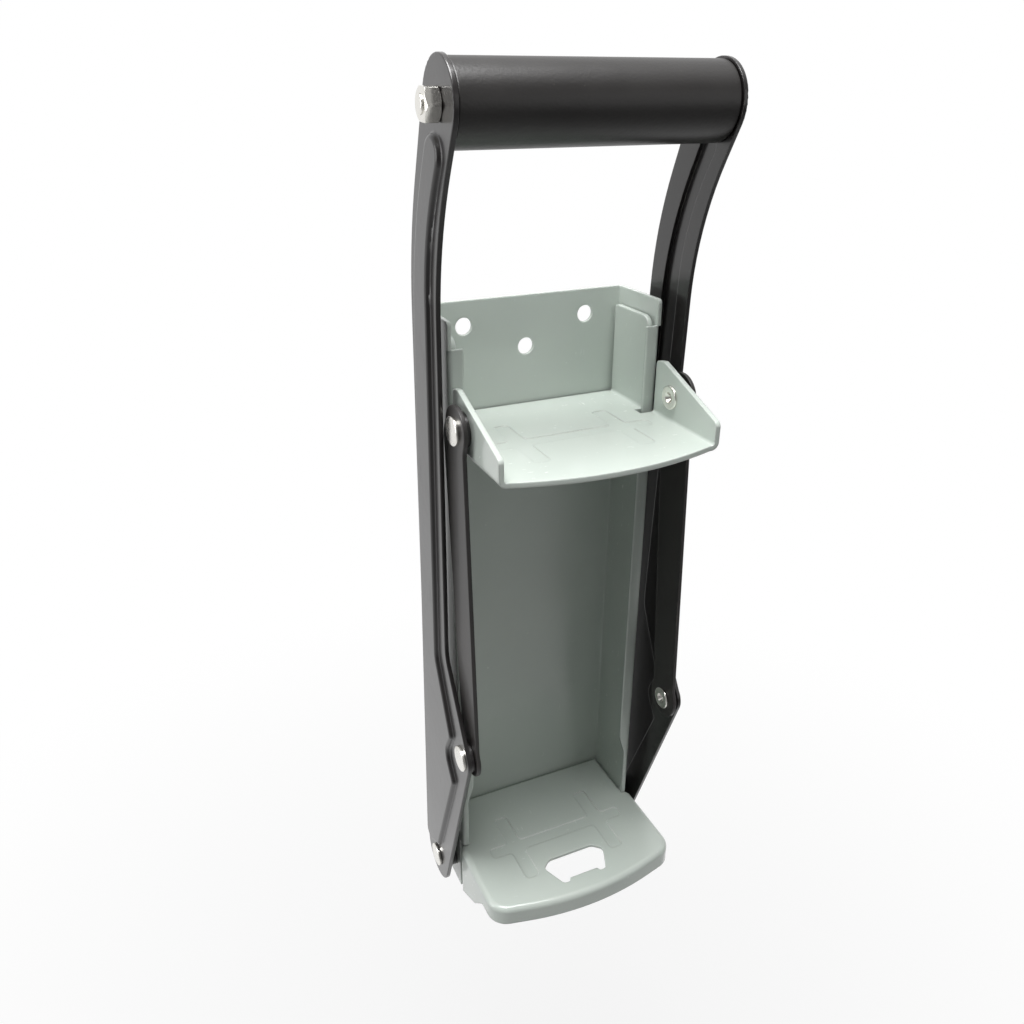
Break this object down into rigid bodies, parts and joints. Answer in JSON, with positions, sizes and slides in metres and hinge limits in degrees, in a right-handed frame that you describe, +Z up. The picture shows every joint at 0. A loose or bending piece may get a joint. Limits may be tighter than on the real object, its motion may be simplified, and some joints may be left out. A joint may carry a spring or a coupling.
{
  "type": "lever can crusher",
  "caption": "Wall-mounted lever can crusher: folded sheet channel, base plate with cap opener slot, sliding platform, links and a two-arm handle with a round grip.",
  "frame": {"origin": "on the wall face of the back channel, on its centre line, level with the top of the base plate", "axes": "+Z up, +Y into the wall, -Y the front, +X to the user's right"},
  "size_m": [0.0979, 0.0707, 0.3145],
  "materials": {
    "frame_enamel": "semi-gloss pale grey enamel",
    "arm_black": "gloss black enamel",
    "grip_black": "smooth satin black",
    "steel_tube": "plain drawn steel",
    "nickel": "bright nickel plated"
  },
  "bodies": {
    "frame": {"back_channel": "frame_enamel", "base_plate": "frame_enamel", "left_pivot_rivet": "nickel", "right_pivot_rivet": "nickel", "left_pivot_spacer": "arm_black", "right_pivot_spacer": "arm_black"},
    "handle": {"left_arm": "arm_black", "right_arm": "arm_black", "left_elbow_rivet": "nickel", "right_elbow_rivet": "nickel", "left_elbow_washer": "arm_black", "right_elbow_washer": "arm_black", "grip_sleeve": "grip_black", "grip_tube": "steel_tube", "handle_bolt": "nickel", "handle_nut": "nickel"},
    "platform": {"platform": "frame_enamel", "left_ear_rivet_tail": "nickel", "right_ear_rivet_tail": "nickel"},
    "left_link": {"left_link": "arm_black", "left_ear_rivet_head": "nickel", "left_ear_washer": "arm_black"},
    "right_link": {"right_link": "arm_black", "right_ear_rivet_head": "nickel", "right_ear_washer": "arm_black"}
  },
  "joints": [
    {"name": "handle_pivot", "type": "hinge", "parent": "frame", "child": "handle", "pos_m": [0, -0.0122, -0.015], "axis": [1, 0, 0], "range_deg": [0, 121.86]},
    {"name": "platform_slide", "type": "slide", "parent": "frame", "child": "platform", "axis": [0, 0, -1], "range_m": [0, 0.149]},
    {"name": "left_elbow", "type": "hinge", "parent": "handle", "child": "left_link", "pos_m": [0, -0.0446, 0.0632], "axis": [1, 0, 0], "range_deg": [-129.83, 0]},
    {"name": "right_elbow", "type": "hinge", "parent": "handle", "child": "right_link", "pos_m": [0, -0.0446, 0.0632], "axis": [1, 0, 0], "range_deg": [-129.83, 0]}
  ],
  "couplings": [
    {"joint": "platform_slide", "follows": "handle_pivot", "m_per_rad": 0.070054},
    {"joint": "left_elbow", "follows": "handle_pivot", "ratio": -1.0654},
    {"joint": "right_elbow", "follows": "handle_pivot", "ratio": -1.0654}
  ]
}
